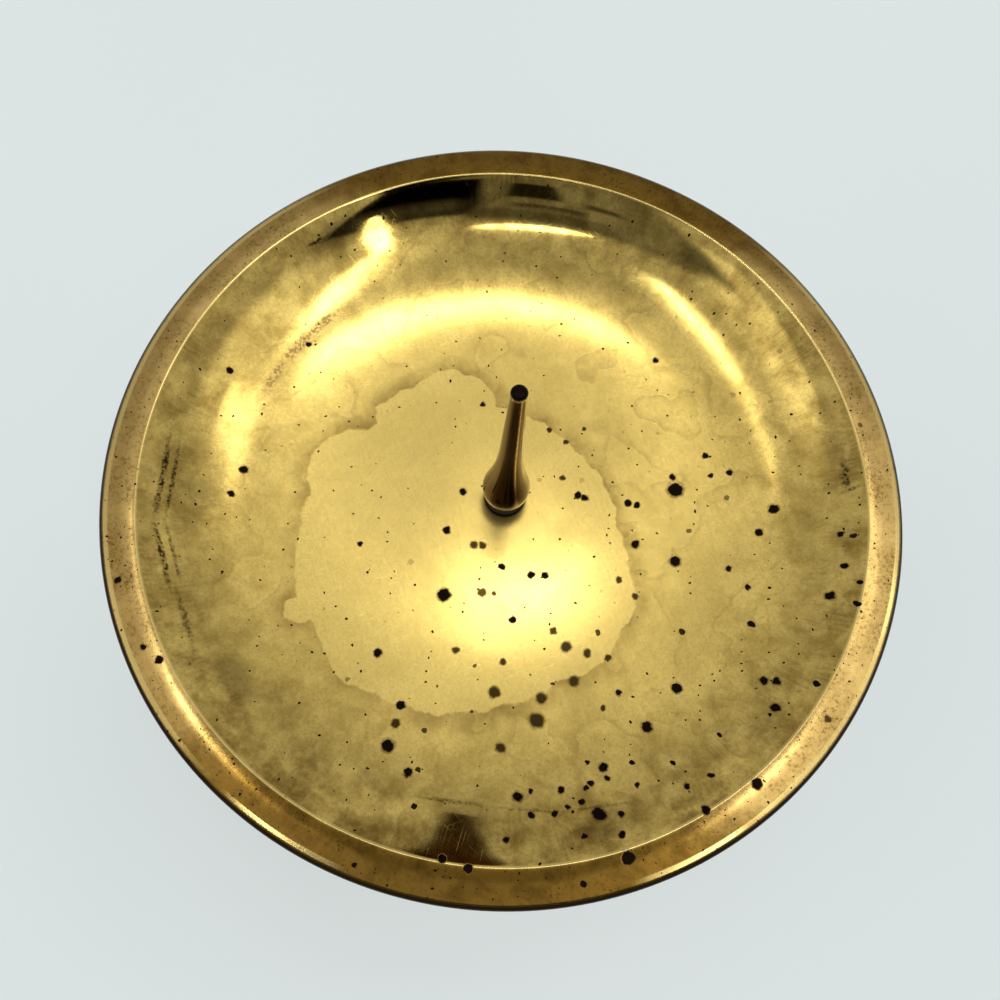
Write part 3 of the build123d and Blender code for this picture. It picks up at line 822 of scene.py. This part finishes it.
def cast_brass():
    """Cast brass foot: polished on top, with tarnish and spots, and a dull sand-cast skin below."""
    material, add, place = finish_named("cast_brass_foot")
    facing = add("SeparateXYZ", {0: add("NewGeometry").outputs["Normal"]}).outputs["Z"]
    height = add("SeparateXYZ", {0: place}).outputs["Z"]
    clouds = {"Vector": place, "Scale": 1 / 20, "Detail": 7, "Roughness": 0.62, "Distortion": 0.4}
    clouds = add("TexNoise", clouds)
    mottle = add("TexNoise", {"Vector": place, "Scale": 1 / 2, "Detail": 4, "Roughness": 0.65})
    skin = add("TexNoise", {"Vector": place, "Scale": 1 / 0.8, "Detail": 4, "Roughness": 0.7})
    under = add("MapRange", {"Value": facing, "From Min": 0.05, "From Max": -0.1}, **SOFT)
    tarnish = add("MapRange", {"Value": clouds, "From Min": 0.38, "From Max": 0.66})
    spots = add("MapRange", {"Value": mottle, "From Min": 0.7, "From Max": 0.76})
    seam = {"Value": height, "From Min": FOOT_TOP_Z - 1.3, "From Max": FOOT_TOP_Z - 0.1, "To Max": 0.8}
    seam = add("MapRange", seam, **SOFT)
    colour = linear("D4AF5E")
    for cover, hex_colour in ((tarnish, "997A3D"), (spots, "3A2A14"), (seam, "4A3519"), (under, "8A6C3A")):
        colour = add("Mix", {"Factor": cover, "A": colour, "B": linear(hex_colour)}, data_type="RGBA")
    rough = {"Value": clouds, "From Min": 0.3, "From Max": 0.7, "To Min": 0.1, "To Max": 0.22}
    rough = add("MapRange", rough)
    rough = add("Mix", {"Factor": under, "A": rough, "B": 0.5})
    relief = add("Math", {0: skin, 1: under}, operation="MULTIPLY")
    bump = add("Bump", {"Height": relief, "Strength": 0.6, "Distance": 0.25 * MM})
    brass = {"Base Color": colour, "Roughness": rough, "Metallic": 1.0, "Normal": bump}
    add("OutputMaterial", {"Surface": add("BsdfPrincipled", brass)})
    return material


def zinc_plate():
    """Zinc-plated steel: a dull grey with a faint bluish mottling."""
    material, add, place = finish_named("zinc_plated_steel")
    spangle = add("TexNoise", {"Vector": place, "Scale": 1 / 1.5, "Detail": 4})
    colour = add("Mix", {"Factor": spangle, "A": linear("9A9B98"), "B": linear("C4C8CC")}, data_type="RGBA")
    rough = {"Value": spangle, "From Min": 0.3, "From Max": 0.7, "To Min": 0.28, "To Max": 0.42}
    rough = add("MapRange", rough)
    steel = {"Base Color": colour, "Roughness": rough, "Metallic": 1.0}
    add("OutputMaterial", {"Surface": add("BsdfPrincipled", steel)})
    return material


dish_finish = aged_spun_brass()
pricket_finish = sooted_brass()
turned_finish = turned_brass()
foot_finish = cast_brass()
zinc_finish = zinc_plate()

for piece, stands_for, finish, slot in (
    (dish, "dish", dish_finish, "dish_brass"),
    (pricket, "pricket", pricket_finish, "turned_brass"),
    (dish_seat, "dish_seat", turned_finish, "turned_brass"),
    (upper_tube, "upper_tube", turned_finish, "turned_brass"),
    (knop, "knop", turned_finish, "turned_brass"),
    (lower_tube, "lower_tube", turned_finish, "turned_brass"),
    (foot_collar, "foot_collar", turned_finish, "turned_brass"),
    (foot, "foot", foot_finish, "foot_brass"),
):
    piece.data.materials.append(finish)
    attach(piece, "root")
    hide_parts(stands_for)
for name in ("tie_rod", "washer", "spring_washer", "nut"):
    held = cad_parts[name]
    held.data.materials.clear()
    held.data.materials.append(zinc_finish)

# Table, lamps, room and camera
TABLE_SIZE = 24000
TABLE_GLOW = 0.18


def pale_laminate():
    """Pale laminate: smooth and nearly matt, with a faint haze; part of its tone is its own glow.

    The glow gives the pale background to the eye and in the metal's reflections, and lights nothing else.
    """
    material, add, place = finish_named("pale_laminate")
    haze = add("TexNoise", {"Vector": place, "Scale": 1 / 400, "Detail": 2})
    shade = add("Mix", {"Factor": haze, "A": linear("DCE5E4"), "B": linear("E4ECEC")}, data_type="RGBA")
    shader = add("BsdfPrincipled", {"Base Color": shade, "Roughness": 0.7, "Specular IOR Level": 0.2})
    ray = add("LightPath").outputs
    seen = add("Math", {0: ray["Is Camera Ray"], 1: ray["Is Glossy Ray"]}, operation="MAXIMUM")
    seen = add("Math", {0: seen, 1: ray["Is Transmission Ray"]}, operation="MAXIMUM")
    strength = add("Math", {0: seen, 1: TABLE_GLOW}, operation="MULTIPLY")
    glow = add("Emission", {"Color": shade, "Strength": strength})
    add("OutputMaterial", {"Surface": add("AddShader", {0: shader, 1: glow})})
    return material


bpy.ops.object.select_all(action="DESELECT")
bpy.ops.mesh.primitive_plane_add(size=TABLE_SIZE * MM, location=(0, 0, 0))
table = bpy.context.object
table.name = table.data.name = "table"
table.data.materials.append(pale_laminate())

LAMP_DISTANCE = 9000
LAMP_CENTRE = Vector((0, 0, FLOOR_Z))
# Strip lamps: each end as angles from straight up, to the right and to the back; then width and strength
LAMPS = [
    ("left_strip", (-15.9, 8.4), (-12.0, -6.8), 1.6, 15.0),
    ("left_strip_tail", (-15.8, 8.5), (-17.4, 16.5), 2.8, 2.0),
    ("right_strip", (15.9, 10.0), (17.3, -7.6), 4.8, 4.6),
    ("right_strip_tail", (17.2, 13.5), (16.5, 22.5), 5.0, 2.0),
    ("right_strip_side", (19.0, 17.5), (28.5, 13.5), 5.0, 2.0),
    ("corner_strip", (16.5, -7.0), (30.0, -27.0), 3.4, 7.0),
    ("front_strip", (-6.2, -17.2), (8.2, -14.5), 2.6, 7.0),
    ("back_strip", (-3.2, 12.8), (10.8, 12.6), 4.6, 5.4),
]


def facing_along(place, right, up, back):
    """A matrix that stands a lamp or camera at the place, with these as its own axes."""
    return Matrix.Translation(place * MM) @ Matrix((right, up, back)).transposed().to_4x4()


def towards(right, back):
    """Direction that leans from straight up by these angles."""
    lean = radians(hypot(right, back))
    bearing = atan2(back, right)
    return Vector((sin(lean) * cos(bearing), sin(lean) * sin(bearing), cos(lean)))


def hang_lamp(name, start, end, width, strength):
    """A strip lamp over the dish from one direction to the other, facing it and hidden from the camera."""
    first, last = towards(*start) * LAMP_DISTANCE, towards(*end) * LAMP_DISTANCE
    run = last - first
    middle = (first + last) / 2
    lamp = bpy.data.lights.new(name, "AREA")
    lamp.shape = "ELLIPSE"
    lamp.size = run.length * MM
    lamp.size_y = 2 * LAMP_DISTANCE * tan(radians(width / 2)) * MM
    lamp.energy = strength * pi * lamp.size * lamp.size_y * pi / 4
    holder = bpy.data.objects.new(name, lamp)
    bpy.context.scene.collection.objects.link(holder)
    away = (middle - run * middle.dot(run) / run.length_squared).normalized()
    side = run.normalized()
    holder.matrix_world = facing_along(LAMP_CENTRE + middle, side, away.cross(side), away)
    holder.visible_camera = False


for lamp_row in LAMPS:
    hang_lamp(*lamp_row)

# Pale room by direction, on a level sheet one unit up: a panel's middle, half sizes, lean, soft edge, tone
ROOM_TONE = 0.60
ROOM_PANELS = [
    (0.10, 0.30, 0.42, 0.32, 0, 0.35, 0.95),
    (-0.72, -0.12, 0.22, 0.28, 0, 0.20, 1.60),
    (0.60, 0.13, 0.30, 0.25, 0, 0.20, 1.25),
    (-0.02, -0.07, 0.19, 0.15, 0, 0.06, 0.50),
    (-0.87, -0.38, 0.18, 0.42, 0, 0.10, 1.20),
    (0.04, -1.00, 0.72, 0.60, 0, 0.09, 0.25),
    (0.58, -0.83, 0.32, 0.42, -0.23, 0.03, 0.0),
    (0.52, -0.55, 0.26, 0.10, -0.23, 0.09, 0.08),
    (0.06, -0.93, 0.11, 0.19, -0.06, 0.025, 0.02),
    (-0.01, -0.57, 0.12, 0.05, 0, 0.025, 0.06),
    (-0.22, -0.74, 0.07, 0.05, 0, 0.03, 0.06),
    (-0.14, -0.44, 0.32, 0.11, 0, 0.06, 0.26),
    (0.0, -0.44, 0.20, 0.07, 0, 0.03, 0.14),
]
# Directions lower than this rise count as this one
LEAST_RISE = 0.05


def pale_room():
    """A pale grey room with lighter and darker panels, which lights the stand and shows in the metal."""
    world = bpy.data.worlds.new("pale_room")
    world.use_nodes = True
    world.node_tree.nodes.clear()
    add = partial(node, world.node_tree)
    ray = add("SeparateXYZ", {0: add("TexCoord").outputs["Generated"]})
    rise = add("Math", {0: ray.outputs["Z"], 1: LEAST_RISE}, operation="MAXIMUM")
    across = add("Math", {0: ray.outputs["X"], 1: rise}, operation="DIVIDE")
    along = add("Math", {0: ray.outputs["Y"], 1: rise}, operation="DIVIDE")
    tone = ROOM_TONE
    for right, back, half_width, half_depth, lean, edge, panel_tone in ROOM_PANELS:
        cover = 1.0
        off_back = add("Math", {0: along, 1: back}, operation="SUBTRACT")
        off_right = add("Math", {0: across, 1: right}, operation="SUBTRACT")
        off_right = add("Math", {0: off_back, 1: -lean, 2: off_right}, operation="MULTIPLY_ADD")
        for off, half in ((off_right, half_width), (off_back, half_depth)):
            off = add("Math", {0: off}, operation="ABSOLUTE")
            inside = {"Value": off, "From Min": half + edge, "From Max": half - edge}
            inside = add("MapRange", inside, **SOFT)
            cover = add("Math", {0: cover, 1: inside}, operation="MULTIPLY")
        tone = add("Mix", {"Factor": cover, "A": tone, "B": panel_tone})
    add("OutputWorld", {"Surface": add("Background", {"Color": (1, 1, 1, 1), "Strength": tone})})
    return world


bpy.context.scene.world = pale_room()

# Camera where the photograph was taken, leaning over the dish and a little turned
CAMERA_PLACE = Vector((0, -60.4, 337.7))
CAMERA_TARGET = Vector((-0.8, -5.0, 179.4))
CAMERA_ROLL = 7.23
SENSOR_WIDTH = 36.0
FOCAL_LENGTH = 0.9 * SENSOR_WIDTH
NEAREST_SEEN = 5.0
camera_data = bpy.data.cameras.new("camera")
camera_data.sensor_fit = "HORIZONTAL"
camera_data.sensor_width = SENSOR_WIDTH
camera_data.lens = FOCAL_LENGTH
camera_data.clip_start = NEAREST_SEEN * MM
camera = bpy.data.objects.new("camera", camera_data)
bpy.context.scene.collection.objects.link(camera)
forward = (CAMERA_TARGET - CAMERA_PLACE).normalized()
level_right = forward.cross(Vector((0, 0, 1))).normalized()
level_up = level_right.cross(forward)
roll = radians(CAMERA_ROLL)
rolled_right = level_right * cos(roll) + level_up * sin(roll)
rolled_up = level_up * cos(roll) - level_right * sin(roll)
camera.matrix_world = facing_along(CAMERA_PLACE, rolled_right, rolled_up, -forward)
bpy.context.scene.camera = camera
bpy.context.scene.view_settings.view_transform = "Standard"
